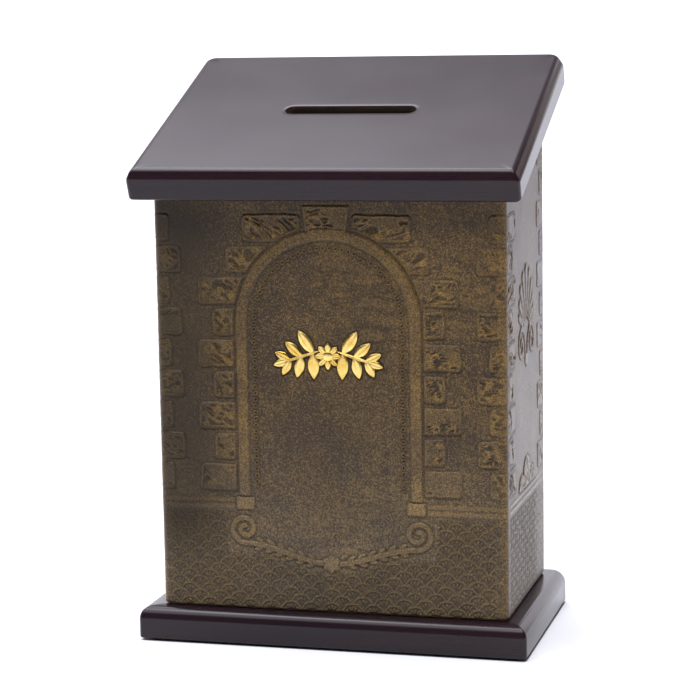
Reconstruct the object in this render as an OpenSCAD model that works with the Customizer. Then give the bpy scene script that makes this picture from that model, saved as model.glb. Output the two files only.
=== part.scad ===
// Table-top donation box: a leather-covered wooden case on a moulded base board,
// under a sloping lid board with a coin slot. A small locking door in the back
// lets the box be emptied. Millimetres, +Z up, the front faces -Y, and the
// origin is the middle of the underside that the box stands on.

/* [Case] */
// Width of the covered case
body_w = 134; // [120:1:140]
// Depth of the covered case
body_d = 78.5; // [74:0.5:84]
// Height of the covered case at its front, from the base board to the lid
front_h = 158; // [150:1:180]
// Thickness of the case boards
wall_t = 6; // [5:0.5:7]
// Thickness of the leather cover
leather_t = 1.3; // [1:0.1:1.6]
// Outer radius of the covered vertical corners
corner_r = 3; // [2.5:0.5:5]
// Width of the cover's turn onto the back
seam_lap = 10; // [8:1:12]

/* [Lid] */
// Width of the lid board
lid_w = 148; // [144:1:160]
// Length of the lid board down its slope
lid_l = 108; // [100:1:116]
// Thickness of the lid board
lid_t = 12; // [10:1:15]
// Slope of the lid board
lid_tilt = 22; // [15:1:26]
// How far the lid board runs past the case's front, down the slope
lid_lap = 7.8; // [4:0.2:10]
// Width of the bevel round the lid's upper face
bevel_in = 2.2; // [1:0.2:4]
// Depth of the bevel round the lid's edge
bevel_down = 3.8; // [2:0.2:6]
// Length of the coin slot
slot_l = 51; // [40:1:60]
// Width of the coin slot
slot_w = 6.5; // [5:0.5:8]

/* [Base] */
// Width of the base board
base_w = 150; // [146:1:164]
// Depth of the base board
base_d = 92; // [88:1:104]
// Thickness of the base board
base_t = 12; // [10:1:15]
// Radius of the moulding round the base board's upper edge
mould_r = 5.2; // [3:0.2:7]
// Angle at which the moulding leaves the base board's upper face
mould_break = 20; // [5:1:30]
// Thickness of the felt sheet under the base board
felt_t = 1; // [0.8:0.1:2]
// Distance of the felt's edge from the base board's edge
felt_inset = 3; // [2:0.5:6]

/* [Back door] */
// Width of the door
door_w = 83.6; // [80:0.2:86]
// Height of the door
door_h = 117.6; // [100:0.2:124]
// Gap all round the door
door_gap = 1.2; // [1.1:0.1:1.5]
// Height of the doorway's foot above the base board
door_sill = 20; // [16:1:24]

/* [Hinges] */
// Length of each hinge
hinge_l = 25; // [20:1:30]
// Width of one hinge leaf, from the pin's axis
leaf_w = 10.5; // [9:0.5:11]
// Thickness of a hinge leaf
leaf_t = 1; // [0.8:0.1:1.2]
// Outer radius of the knuckles
knuckle_r = 2.4; // [2:0.1:2.8]
// Radius of the hinge pin
pin_r = 1.2; // [1:0.1:1.4]

/* [Lock] */
// Distance of the lock's axis from the middle of the case, on the latch side
lock_x = 26; // [24:1:27]
// Radius of the lock's bezel
bezel_r = 9; // [8.5:0.5:10]
// Radius of the lock's threaded barrel
barrel_r = 7.5; // [7.2:0.1:8]
// Radius of the turning plug
plug_r = 5; // [4.6:0.1:5.4]
// Length of the cam, from the lock's axis to its tip
cam_l = 22; // [20:1:24]

/* [Hidden] */
$fn = 64;

// Clearances: round a moving shaft, round a fixed shank, and between plain parts
run_gap = 0.05;
shank_gap = 0.05;
part_gap = 0.2;
far = 400;

// The case, inside its cover
case_w = body_w - 2 * leather_t;
case_d = body_d - 2 * leather_t;
case_r = corner_r - leather_t;
inner_w = case_w - 2 * wall_t;
inner_d = case_d - 2 * wall_t;
base_top = felt_t + base_t;
cover_foot = base_top + 0.3;
back_y = body_d / 2;

// The lid's lower front edge
lid_y = -body_d / 2 - lid_lap * cos(lid_tilt);
lid_z = base_top + front_h - lid_lap * sin(lid_tilt);

// The doorway, and the pieces behind it
way_w = door_w + 2 * door_gap;
way_h = door_h + 2 * door_gap;
way_z = base_top + door_sill;
stop_t = 6;
stop_w = 9.5;
stop_lap = 3;
block_w = 8;
block_h_front = 145;
block_h_back = 165;
cleat_w = 10;

// The hinges: their axis, and the height of each one's middle
hinge_x = way_w / 2 - door_gap / 2;
hinge_y = back_y + knuckle_r + 0.1;
hinge_inset = 22;
hinge_z_upper = way_z + way_h - hinge_inset;
hinge_z_lower = way_z + hinge_inset;
hinge_screw_x = 6.7;
hinge_screw_z = 8;
knuckle_l = (hinge_l - 2 * part_gap) / 3;

// Screws: [shank radius, head radius, length under the head's flat]
small_screw = [1.0, 1.9, 6];
case_screw = [1.5, 3.0, 26];
lid_screw = [1.5, 3.0, 17];
lid_screw_v = [24, 62];

// The lock: depths are measured inwards from the door's outer face
lock_z = way_z + way_h / 2;
bezel_t = 2.5;
door_t = wall_t + leather_t;
nut_t = 3;
nut_flats = 19;
barrel_flats = 13.2;
barrel_end = door_t + stop_t + 0.1;
cam_depth = door_t + stop_t + 0.3;
cam_t = 1.6;
cam_w = 10;
drive_w = 5;
head_r = plug_r + 1.2;
head_back = -0.8;
plug_front = -2;
keyway_end = 9.6;
cam_screw_l = 5;

// The key: blade, bow and ring hole
blade_h = 6;
blade_t = 1.8;
blade_l = 11;
bow_r = 10;
bow_t = 2;
bow_depth = -14;
ring_hole_r = 2.5;
ring_hole_depth = -18.5;

// The ornament: size of its leaves and where it lies on the front
emblem_t = 0.5;
emblem_z = 109.5 + felt_t;
rosette_r = 4.4;
petals = 8;
leaf_pairs = 3;
stem_l = 17.5;
stem_slope = -18;
leaf_l = 10.4;
leaf_wide = 4.2;

// ---------- shared shapes ----------

// A rectangle with round corners, centred
module round_rect(w, d, r) {
    square([w - 2 * r, d], center = true);
    square([w, d - 2 * r], center = true);
    for (x = [-1, 1], y = [-1, 1])
        translate([x * (w / 2 - r), y * (d / 2 - r)]) circle(r);
}

// Places children in the lid's own frame: X across, Y up the slope, Z off its underside
module on_lid() {
    translate([0, lid_y, lid_z]) rotate([lid_tilt, 0, 0]) children();
}

// Cuts children off at the lid's underside, less a gap
module under_lid(gap = 0) {
    difference() {
        children();
        on_lid() translate([-far / 2, -far / 4, -gap]) cube([far, far, far / 2]);
    }
}

// Places children on an axis that runs inwards through the back, from the outer face
module from_back(x, z) {
    translate([x, back_y, z]) rotate([90, 0, 0]) children();
}

// A countersunk screw: its head's flat is at Z 0 and it points up +Z
module screw(size) {
    shank = size[0];
    head = size[1];
    cone = head - shank;
    difference() {
        union() {
            cylinder(r1 = head, r2 = shank, h = cone);
            translate([0, 0, cone / 2]) cylinder(r = shank, h = size[2] - shank - cone / 2);
            translate([0, 0, size[2] - shank]) cylinder(r1 = shank, r2 = 0.2, h = shank);
        }
        for (turn = [0, 90])
            rotate(turn) translate([-head * 0.6, -head * 0.12, -1]) cube([head * 1.2, head * 0.24, 1 + cone * 0.6]);
    }
}

// The hole that a screw needs, a little larger all over
module screw_hole(size) {
    g = shank_gap;
    translate([0, 0, -far / 10]) cylinder(r = size[1] + g, h = far / 10 + g);
    translate([0, 0, g - 0.001]) cylinder(r1 = size[1] + g, r2 = size[0] + g, h = size[1] - size[0]);
    cylinder(r = size[0] + g, h = size[2] + 0.2);
}

// A leaf shape between two arcs, its stalk end at the origin, pointing along +X
module leaf(l, w) {
    r = (l * l / 4 + w * w / 4) / w;
    intersection_for (side = [-1, 1])
        translate([l / 2, side * (r - w / 2)]) circle(r);
}

// ---------- where the screws go ----------

module at_base_screws() {
    for (x = [-1, 1], y = [-1, 1])
        translate([x * (inner_w - block_w) / 2, y * (inner_d - block_w) / 2, felt_t]) children();
}

module at_lid_screws(side) {
    for (v = lid_screw_v)
        on_lid() translate([side * (inner_w - cleat_w) / 2, v, -cleat_w]) children();
}

// side is 1 for the fixed leaves, and -1 for the door's
module at_hinge_screws(side) {
    for (z = [hinge_z_lower, hinge_z_upper], dz = [-hinge_screw_z, hinge_screw_z])
        from_back(hinge_x + side * hinge_screw_x, z + dz) translate([0, 0, -leaf_t]) children();
}

// ---------- base ----------

// Half of the base board's outline is moulded: a quarter round that leaves the top at an angle
module moulded_outline(w) {
    cut = mould_r * (1 - sin(mould_break));
    drop = mould_r * cos(mould_break);
    difference() {
        translate([-w / 2, 0]) square([w, base_t]);
        for (side = [-1, 1])
            difference() {
                translate([side * w / 2 - cut, base_t - drop]) square([2 * cut, 2 * drop]);
                translate([side * (w / 2 - mould_r), base_t - drop]) circle(mould_r);
            }
    }
}

module base_felt() {
    color([0.08, 0.08, 0.09]) linear_extrude(felt_t)
        round_rect(base_w - 2 * felt_inset, base_d - 2 * felt_inset, corner_r);
}

module base_board() {
    color([0.16, 0.10, 0.11]) difference() {
        translate([0, 0, felt_t]) intersection() {
            rotate([90, 0, 0]) linear_extrude(base_d, center = true) moulded_outline(base_w);
            rotate([90, 0, 90]) linear_extrude(base_w, center = true) moulded_outline(base_d);
        }
        at_base_screws() screw_hole(case_screw);
    }
}

module base_screws() {
    color([0.65, 0.63, 0.58]) at_base_screws() screw(case_screw);
}

// ---------- case ----------

// One upright wall of the case: the part of its outline inside children
module wall() {
    under_lid() translate([0, 0, base_top]) linear_extrude(far / 2) intersection() {
        round_rect(case_w, case_d, case_r);
        children();
    }
}

module front_panel() {
    color([0.62, 0.50, 0.36]) wall()
        translate([-case_w / 2, -case_d / 2]) square([case_w, wall_t]);
}

module side_panel(side) {
    color([0.62, 0.50, 0.36]) wall()
        translate([side * (case_w - wall_t) / 2, 0]) square([wall_t, inner_d], center = true);
}

module doorway() {
    translate([-way_w / 2, 0, way_z]) cube([way_w, far, way_h]);
}

module back_panel() {
    color([0.62, 0.50, 0.36]) difference() {
        wall() translate([-case_w / 2, case_d / 2 - wall_t]) square([case_w, wall_t]);
        doorway();
        at_hinge_screws(1) screw_hole(small_screw);
    }
}

module corner_blocks() {
    color([0.80, 0.66, 0.45]) difference() {
        for (x = [-1, 1], y = [-1, 1])
            translate([x * (inner_w - block_w) / 2, y * (inner_d - block_w) / 2, base_top])
                linear_extrude(y < 0 ? block_h_front : block_h_back) square(block_w, center = true);
        at_base_screws() screw_hole(case_screw);
    }
}

module leather_wrap() {
    color([0.30, 0.22, 0.13]) under_lid(part_gap) translate([0, 0, cover_foot]) linear_extrude(far / 2)
        difference() {
            round_rect(body_w, body_d, corner_r);
            round_rect(case_w, case_d, case_r);
            translate([-body_w / 2 + seam_lap, 0]) square([body_w - 2 * seam_lap, body_d]);
        }
}

module leather_back() {
    color([0.30, 0.22, 0.13]) difference() {
        under_lid(part_gap) translate([-body_w / 2 + seam_lap, case_d / 2, cover_foot])
            cube([body_w - 2 * seam_lap, leather_t, far / 2]);
        doorway();
        at_hinge_screws(1) screw_hole(small_screw);
    }
}

// One side of the spray: leaves in pairs along a drooping stem, and one at its end
module spray() {
    translate([2.5, 2.2]) rotate(stem_slope) {
        leaf(stem_l, 1.3);
        for (i = [0 : leaf_pairs - 1]) {
            t = i / (leaf_pairs - 1);
            for (up = [-1, 1])
                translate([3.4 + 9.2 * t, 0]) rotate(up * (74 - 30 * t)) translate([-0.5, 0])
                    leaf(leaf_l - 3.4 * t, leaf_wide - t);
        }
        translate([13.4, 0]) leaf(6, 3);
    }
}

module front_emblem() {
    color([0.85, 0.68, 0.25]) translate([0, -body_d / 2, emblem_z]) rotate([90, 0, 0])
        linear_extrude(emblem_t) {
            circle(rosette_r * 0.45);
            for (i = [0 : petals - 1])
                rotate(i * 360 / petals) translate([rosette_r * 0.25, 0]) leaf(rosette_r * 0.9, rosette_r * 0.52);
            spray();
            mirror([1, 0]) spray();
        }
}

// ---------- lid ----------

// A board's outline with its two upper edges bevelled
module bevelled_outline(w) {
    polygon([
        [-w / 2, 0], [w / 2, 0], [w / 2, lid_t - bevel_down],
        [w / 2 - bevel_in, lid_t], [-w / 2 + bevel_in, lid_t], [-w / 2, lid_t - bevel_down]
    ]);
}

module coin_slot() {
    reach = (slot_l - slot_w) / 2;
    translate([0, lid_l / 2, -1]) linear_extrude(lid_t + 2) {
        square([2 * reach, slot_w], center = true);
        for (side = [-1, 1]) translate([side * reach, 0]) circle(slot_w / 2);
    }
}

module lid_board() {
    color([0.20, 0.13, 0.14]) difference() {
        on_lid() difference() {
            intersection() {
                translate([0, lid_l / 2, 0]) rotate([90, 0, 0])
                    linear_extrude(lid_l, center = true) bevelled_outline(lid_w);
                translate([0, lid_l / 2, 0]) rotate([90, 0, 90])
                    linear_extrude(lid_w, center = true) bevelled_outline(lid_l);
            }
            coin_slot();
        }
        for (side = [-1, 1]) at_lid_screws(side) screw_hole(lid_screw);
    }
}

// A strip glued under the lid against a side wall, between the front and back boards
module lid_cleat(side) {
    color([0.80, 0.66, 0.45]) difference() {
        intersection() {
            on_lid() translate([side * (inner_w - cleat_w) / 2 - cleat_w / 2, 0, -cleat_w])
                cube([cleat_w, lid_l, cleat_w]);
            translate([0, 0, lid_z]) cube([inner_w, inner_d, far], center = true);
        }
        at_lid_screws(side) screw_hole(lid_screw);
    }
}

module lid_screws() {
    color([0.65, 0.63, 0.58]) for (side = [-1, 1]) at_lid_screws(side) screw(lid_screw);
}

// ---------- back door ----------

// Strips behind the doorway's head, foot and latch side, which the closed door rests on
module door_stops() {
    inside_y = inner_d / 2 - stop_t;
    edge_x = way_w / 2 - stop_lap;
    color([0.80, 0.66, 0.45]) {
        translate([-edge_x - stop_w, inside_y, way_z]) cube([stop_w, stop_t, way_h]);
        for (z = [way_z + stop_lap - stop_w, way_z + way_h - stop_lap])
            translate([-edge_x + part_gap, inside_y, z]) cube([2 * edge_x - part_gap - 2, stop_t, stop_w]);
    }
}

module barrel_outline(r, flats) {
    intersection() {
        circle(r);
        square([flats, 3 * r], center = true);
    }
}

module lock_hole() {
    from_back(-lock_x, lock_z) translate([0, 0, -1]) linear_extrude(door_t + 2)
        barrel_outline(barrel_r + 0.1, barrel_flats + 0.2);
}

module door_panel() {
    color([0.62, 0.50, 0.36]) difference() {
        translate([-door_w / 2, case_d / 2 - wall_t, way_z + door_gap]) cube([door_w, wall_t, door_h]);
        lock_hole();
        at_hinge_screws(-1) screw_hole(small_screw);
    }
}

module door_cover() {
    color([0.30, 0.22, 0.13]) difference() {
        translate([-door_w / 2, case_d / 2, way_z + door_gap]) cube([door_w, leather_t, door_h]);
        lock_hole();
        at_hinge_screws(-1) screw_hole(small_screw);
    }
}

// ---------- hinges ----------

// Stretches of knuckle along a hinge, as shares of three: the outer two are fixed
module knuckles(which) {
    for (i = which)
        translate([0, 0, i * (knuckle_l + part_gap)]) cylinder(r = knuckle_r, h = knuckle_l);
}

// side is 1 for the fixed leaf, and -1 for the door's
module hinge_leaf(side, z_mid) {
    mine = side > 0 ? [0, 2] : [1];
    other = side > 0 ? [1] : [0, 2];
    plate_w = leaf_w;
    color([0.80, 0.62, 0.28]) difference() {
        translate([hinge_x, hinge_y, z_mid - hinge_l / 2]) difference() {
            union() {
                knuckles(mine);
                translate([side > 0 ? 0 : -plate_w, back_y - hinge_y, 0]) cube([plate_w, leaf_t, hinge_l]);
            }
            for (i = other)
                translate([-knuckle_r - 0.3, -far / 20, i * (knuckle_l + part_gap) - part_gap])
                    cube([2 * knuckle_r + 0.6, far / 10, knuckle_l + 2 * part_gap]);
            translate([0, 0, -1]) cylinder(r = pin_r + run_gap, h = hinge_l + 2);
        }
        at_hinge_screws(side) screw_hole(small_screw);
    }
}

module hinge_pin(z_mid) {
    cap = 0.6;
    color([0.80, 0.62, 0.28]) translate([hinge_x, hinge_y, z_mid - hinge_l / 2]) {
        translate([0, 0, -cap]) cylinder(r = pin_r, h = hinge_l + 2 * cap);
        for (z = [-cap - 0.1, hinge_l + 0.1]) translate([0, 0, z]) cylinder(r = pin_r + 0.7, h = cap);
    }
}

module hinge_screws(side) {
    color([0.80, 0.62, 0.28]) at_hinge_screws(side) screw(small_screw);
}

// ---------- lock ----------

module lock_barrel() {
    color([0.75, 0.75, 0.76]) from_back(-lock_x, lock_z) difference() {
        union() {
            translate([0, 0, -bezel_t]) cylinder(r = bezel_r, h = bezel_t);
            linear_extrude(barrel_end) barrel_outline(barrel_r, barrel_flats);
        }
        translate([0, 0, -far / 20]) cylinder(r = plug_r + run_gap, h = far / 10);
        translate([0, 0, -far / 20]) cylinder(r = head_r + run_gap, h = far / 20 + head_back);
    }
}

module lock_nut() {
    corner_radius = nut_flats / sqrt(3);
    color([0.70, 0.70, 0.72]) from_back(-lock_x, lock_z) translate([0, 0, door_t]) difference() {
        cylinder(r = corner_radius, h = nut_t, $fn = 6);
        translate([0, 0, -1]) cylinder(r = barrel_r + shank_gap, h = nut_t + 2);
    }
}

module lock_plug() {
    color([0.82, 0.80, 0.74]) from_back(-lock_x, lock_z) difference() {
        union() {
            translate([0, 0, plug_front]) cylinder(r = plug_r, h = cam_depth - plug_front);
            translate([0, 0, plug_front]) cylinder(r = head_r, h = head_back - plug_front - part_gap / 2);
            translate([-drive_w / 2, -drive_w / 2, cam_depth - 1]) cube([drive_w, drive_w, cam_t + 1]);
        }
        translate([-blade_t / 2 - 0.15, -blade_h / 2 - 0.15, plug_front - 1])
            cube([blade_t + 0.3, blade_h + 0.3, keyway_end - plug_front + 1]);
        translate([0, 0, cam_depth + cam_t - cam_screw_l]) cylinder(r = 1.25 + shank_gap, h = cam_screw_l + 1);
    }
}

// The cam hangs down while the door is free, and points at the latch side when it is locked
module lock_cam() {
    color([0.70, 0.70, 0.72]) from_back(-lock_x, lock_z) translate([0, 0, cam_depth]) difference() {
        linear_extrude(cam_t) {
            circle(cam_w / 2 + 1);
            translate([-cam_w / 2, -cam_l + cam_w / 2]) square([cam_w, cam_l - cam_w / 2]);
            translate([0, -cam_l + cam_w / 2]) circle(cam_w / 2);
        }
        translate([-drive_w / 2 - 0.05, -drive_w / 2 - 0.05, -1]) cube([drive_w + 0.1, drive_w + 0.1, cam_t + 2]);
    }
}

module cam_screw() {
    color([0.70, 0.70, 0.72]) from_back(-lock_x, lock_z) translate([0, 0, cam_depth + cam_t]) {
        difference() {
            translate([0, 0, 0.05]) cylinder(r = 4, h = 1.8);
            for (turn = [0, 90])
                rotate(turn) translate([-2.2, -0.4, 1]) cube([4.4, 0.8, 2]);
        }
        translate([0, 0, -cam_screw_l + 0.3]) cylinder(r = 1.25, h = cam_screw_l);
    }
}

module key() {
    color([0.78, 0.76, 0.70]) from_back(-lock_x, lock_z) difference() {
        union() {
            translate([-bow_t / 2, 0, bow_depth]) rotate([0, 90, 0]) cylinder(r = bow_r, h = bow_t);
            translate([-blade_t / 2, -blade_h / 2, bow_depth]) cube([blade_t, blade_h, blade_l + plug_front - bow_depth]);
        }
        translate([-far / 20, 0, ring_hole_depth]) rotate([0, 90, 0]) cylinder(r = ring_hole_r, h = far / 10);
        for (cut = [[0.5, 1.6], [3, 1.0], [5.5, 2.0], [8, 1.3]])
            translate([0, -blade_h / 2, cut[0]]) rotate([45, 0, 0]) cube([far / 10, cut[1], cut[1]], center = true);
    }
}

base_felt();
base_board();
base_screws();
front_panel();
side_panel(-1);  // side_panel_left
side_panel(1);  // side_panel_right
back_panel();
corner_blocks();
leather_wrap();
leather_back();
front_emblem();
lid_board();
lid_cleat(-1);  // lid_cleat_left
lid_cleat(1);  // lid_cleat_right
lid_screws();
door_stops();
door_panel();
door_cover();
hinge_leaf(1, hinge_z_upper);  // hinge_leaf_fixed_upper
hinge_leaf(1, hinge_z_lower);  // hinge_leaf_fixed_lower
hinge_leaf(-1, hinge_z_upper);  // hinge_leaf_door_upper
hinge_leaf(-1, hinge_z_lower);  // hinge_leaf_door_lower
hinge_pin(hinge_z_upper);  // hinge_pin_upper
hinge_pin(hinge_z_lower);  // hinge_pin_lower
hinge_screws(1);  // hinge_screws_fixed
hinge_screws(-1);  // hinge_screws_door
lock_barrel();
lock_nut();
lock_plug();
lock_cam();
cam_screw();
key();
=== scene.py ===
"""Looks for a table-top donation box: embossed leather case, lacquered lid and base boards,
gilt ornament, and a locking door in the back. Everything is in metres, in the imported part's frame."""

import math

import bmesh
import bpy
import numpy as np
from mathutils import Matrix, Vector

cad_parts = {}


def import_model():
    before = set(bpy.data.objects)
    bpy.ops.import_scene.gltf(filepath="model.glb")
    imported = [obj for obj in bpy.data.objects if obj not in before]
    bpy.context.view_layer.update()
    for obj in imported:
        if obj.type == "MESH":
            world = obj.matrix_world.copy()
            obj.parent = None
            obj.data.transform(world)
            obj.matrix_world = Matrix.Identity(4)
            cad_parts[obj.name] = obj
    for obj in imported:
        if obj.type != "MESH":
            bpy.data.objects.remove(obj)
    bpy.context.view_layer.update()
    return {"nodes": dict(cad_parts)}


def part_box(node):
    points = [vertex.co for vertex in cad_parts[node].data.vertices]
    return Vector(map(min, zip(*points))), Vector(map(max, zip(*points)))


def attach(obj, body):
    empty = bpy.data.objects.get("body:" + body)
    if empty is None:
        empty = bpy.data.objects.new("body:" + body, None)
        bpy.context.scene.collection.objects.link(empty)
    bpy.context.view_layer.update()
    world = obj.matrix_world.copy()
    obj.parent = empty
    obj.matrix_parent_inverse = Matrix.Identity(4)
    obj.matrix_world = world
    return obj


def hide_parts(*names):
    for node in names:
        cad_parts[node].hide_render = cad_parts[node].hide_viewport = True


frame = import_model()

MM = 0.001


# ---------------------------------------------------------------- places read from the frame

WRAP_LOW, WRAP_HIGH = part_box("leather_wrap")
BASE_LOW, BASE_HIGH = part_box("base_board")
LID_LOW, LID_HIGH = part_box("lid_board")
DOOR_LOW, DOOR_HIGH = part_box("door_cover")
BACK_LOW, BACK_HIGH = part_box("leather_back")
BARREL_LOW, BARREL_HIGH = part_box("lock_barrel")

LID_TILT = math.radians(22)
LID_LENGTH = 108 * MM
LID_THICK = 12 * MM
LID_BEVEL_IN = 2.2 * MM
LID_BEVEL_DOWN = 3.8 * MM
SLOT_LENGTH = 51 * MM
SLOT_WIDTH = 6.5 * MM
# the lid's lower front edge, from which its own frame is measured
LID_EDGE = Vector((0, LID_LOW.y + (LID_THICK - LID_BEVEL_DOWN) * math.sin(LID_TILT), LID_LOW.z))

# the covered case, in millimetres: its relief is worked out in these
HALF_W = WRAP_HIGH.x / MM
HALF_D = WRAP_HIGH.y / MM
CORNER_R = 3.0
COVER_THICK = 1.3
SEAM_X = BACK_HIGH.x / MM
BOARD_TOP = BASE_HIGH.z / MM
COVER_FOOT = WRAP_LOW.z / MM
LID_GAP = 0.2


# ---------------------------------------------------------------- colours and shader graphs

def srgb(red, green, blue):
    """A colour given as 0 to 255 values, in linear light."""
    def linear(c):
        c = c / 255
        return c / 12.92 if c <= 0.04045 else ((c + 0.055) / 1.055) ** 2.4
    return (linear(red), linear(green), linear(blue), 1.0)


# light wood, dark wood and fleck
PINE = (srgb(214, 180, 128), srgb(180, 136, 84), srgb(150, 112, 70))
STAINED = (srgb(74, 60, 42), srgb(52, 40, 28), srgb(38, 29, 20))


class Wiring:
    """A node tree under construction, with one method for each kind of node that is used."""

    def __init__(self, tree):
        self.nodes, self.links = tree.nodes, tree.links
        self.nodes.clear()

    def put(self, socket, value):
        """Sets a socket, or links it if the value is another node's output."""
        if isinstance(value, bpy.types.NodeSocket):
            self.links.new(value, socket)
        else:
            socket.default_value = value

    def node(self, kind, **inputs):
        """A new node, with the inputs that are named set or linked."""
        return self.fill(self.nodes.new("ShaderNode" + kind), **inputs)

    def fill(self, node, **inputs):
        for name, value in inputs.items():
            self.put(node.inputs[name.replace("_", " ")], value)
        return node

    def axes(self, vector):
        """A vector's X, Y and Z, by name."""
        return self.node("SeparateXYZ", Vector=vector).outputs

    def math(self, operation, a, b=0.0):
        node = self.node("Math")
        node.operation = operation
        self.put(node.inputs[0], a)
        self.put(node.inputs[1], b)
        return node.outputs[0]

    def spread(self, value, low, high, to_low=0.0, to_high=1.0):
        """Stretches value, so that low to high becomes to_low to to_high, clamped."""
        node = self.node("MapRange", Value=value, From_Min=low, From_Max=high, To_Min=to_low, To_Max=to_high)
        node.interpolation_type = "SMOOTHSTEP"
        return node.outputs["Result"]

    def mix(self, share, a, b):
        node = self.node("Mix")
        node.data_type = "RGBA"
        self.fill(node, Factor=share)
        colour_inputs = [s for s in node.inputs if s.type == "RGBA"]
        self.put(colour_inputs[0], a)
        self.put(colour_inputs[1], b)
        return [s for s in node.outputs if s.type == "RGBA"][0]


class Graph(Wiring):
    """A material under construction."""

    def __init__(self, name):
        self.material = bpy.data.materials.new(name)
        self.material.use_nodes = True
        super().__init__(self.material.node_tree)
        self.shader = self.node("BsdfPrincipled")
        self.node("OutputMaterial", Surface=self.shader.outputs["BSDF"])
        self.place = self.node("TexCoord").outputs["Object"]

    def surface(self, **settings):
        """Sets what the surface looks like, and gives the finished material."""
        self.fill(self.shader, **settings)
        return self.material

    def stretched(self, x, y, z):
        """Object coordinates, scaled, so that a texture runs along one axis."""
        return self.node("Mapping", Scale=(x, y, z), Vector=self.place).outputs["Vector"]

    def noise(self, scale, detail=2.0, roughness=0.5, distortion=0.0, at=None):
        return self.node(
            "TexNoise", Vector=at or self.place, Scale=scale, Detail=detail,
            Roughness=roughness, Distortion=distortion,
        ).outputs["Fac"]

    def cells(self, scale, smoothness):
        node = self.node("TexVoronoi")
        node.feature = "SMOOTH_F1"
        return self.fill(node, Vector=self.place, Scale=scale, Smoothness=smoothness).outputs["Distance"]

    def attribute(self, name):
        node = self.node("Attribute")
        node.attribute_name = name
        return node.outputs["Fac"]

    def bump(self, height, depth, strength=1.0, under=None):
        """Bumps of a real depth in metres. under is a bump that this one lies on."""
        node = self.node("Bump", Height=height, Distance=depth, Strength=strength)
        if under is not None:
            self.fill(node, Normal=under)
        return node.outputs["Normal"]


def lacquered_wood(name, grain_axis):
    """Dark mahogany stain, close-grained, under a satin lacquer. grain_axis is 0 for X, 1 for Y."""
    g = Graph(name)
    along = [60.0, 60.0, 60.0]
    along[grain_axis] = 4.0
    fibre = g.noise(14.0, 6.0, 0.62, 0.3, at=g.stretched(*along))
    figure = g.noise(2.2, 3.0, 0.5, 0.6, at=g.stretched(*along))
    stain = g.mix(g.spread(figure, 0.3, 0.7), srgb(25, 16, 21), srgb(32, 19, 23))
    colour = g.mix(g.spread(fibre, 0.45, 0.75, 0.0, 0.7), stain, srgb(20, 13, 18))
    cloud = g.noise(26.0, 3.0, 0.5)
    pores = g.bump(fibre, 0.02 * MM, 0.35)
    return g.surface(
        Base_Color=colour,
        Roughness=g.spread(cloud, 0.25, 0.75, 0.17, 0.21),
        Specular_IOR_Level=0.3,
        Normal=g.bump(g.noise(900.0, 2.0, 0.5), 0.006 * MM, 0.6, under=pores),
    )


def embossed_leather(name):
    """Brown antique leather. Its meshes carry four shares: raised and rubbed, sunk, worn, and dark."""
    g = Graph(name)
    burnish = g.attribute("burnish")
    cloud = g.noise(34.0, 5.0, 0.62, 0.6)
    streak = g.noise(38.0, 7.0, 0.74, 1.2, at=g.stretched(1.0, 1.0, 0.8))
    ground = g.mix(g.spread(cloud, 0.38, 0.62), srgb(60, 47, 31), srgb(84, 65, 38))
    ground = g.mix(g.spread(streak, 0.50, 0.70, 0.0, 0.55), ground, srgb(110, 85, 42))
    rubbed = g.mix(g.spread(streak, 0.35, 0.65), srgb(112, 87, 45), srgb(138, 108, 52))
    colour = g.mix(g.math("MULTIPLY", burnish, 0.85), ground, rubbed)
    # painted reflection: greyer towards the foot, where the leather's sheen would show the pale floor
    height = g.axes(g.place)["Z"]
    colour = g.mix(g.spread(height, 0.015, 0.105, 0.55, 0.0), colour, srgb(108, 98, 82))
    colour = g.mix(g.attribute("wear"), colour, srgb(122, 94, 42))
    speck = g.noise(1900.0, 3.0, 0.75)
    stipple = g.noise(1200.0, 2.0, 0.65)
    shy = g.math("SUBTRACT", 1.0, g.math("MULTIPLY", burnish, 0.5))
    colour = g.mix(g.spread(speck, 0.52, 0.66, 0.0, 0.40), colour, srgb(152, 124, 70))
    colour = g.mix(g.math("MULTIPLY", g.spread(speck, 0.40, 0.58, 0.74, 0.0), shy), colour, srgb(30, 23, 13))
    colour = g.mix(g.math("MULTIPLY", g.spread(stipple, 0.30, 0.46, 0.6, 0.0), shy), colour, srgb(28, 22, 13))
    colour = g.mix(g.math("MULTIPLY", g.attribute("pit"), 0.8), colour, srgb(30, 23, 12))
    colour = g.mix(g.math("MULTIPLY", g.attribute("dark"), 0.9), colour, srgb(34, 26, 12))
    grain = g.cells(1400.0, 0.3)
    fine = g.bump(grain, 0.10 * MM, 0.6)
    fine = g.bump(speck, 0.14 * MM, 0.7, under=fine)
    matt = g.spread(speck, 0.3, 0.8, 0.30, 0.54)
    return g.surface(
        Base_Color=colour,
        Roughness=g.math("SUBTRACT", matt, g.math("MULTIPLY", burnish, 0.12)),
        Specular_IOR_Level=0.25,
        Sheen_Weight=0.22,
        Sheen_Roughness=0.35,
        Normal=fine,
    )


def gilt(name):
    g = Graph(name)
    cloud = g.noise(220.0, 3.0, 0.6)
    colour = g.mix(g.spread(cloud, 0.3, 0.7), srgb(212, 174, 84), srgb(244, 216, 132))
    crinkle = g.bump(g.noise(620.0, 3.0, 0.6), 0.05 * MM, 0.6)
    rough = g.spread(cloud, 0.2, 0.8, 0.24, 0.36)
    return g.surface(Base_Color=colour, Metallic=1.0, Roughness=rough, Normal=crinkle)


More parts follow.
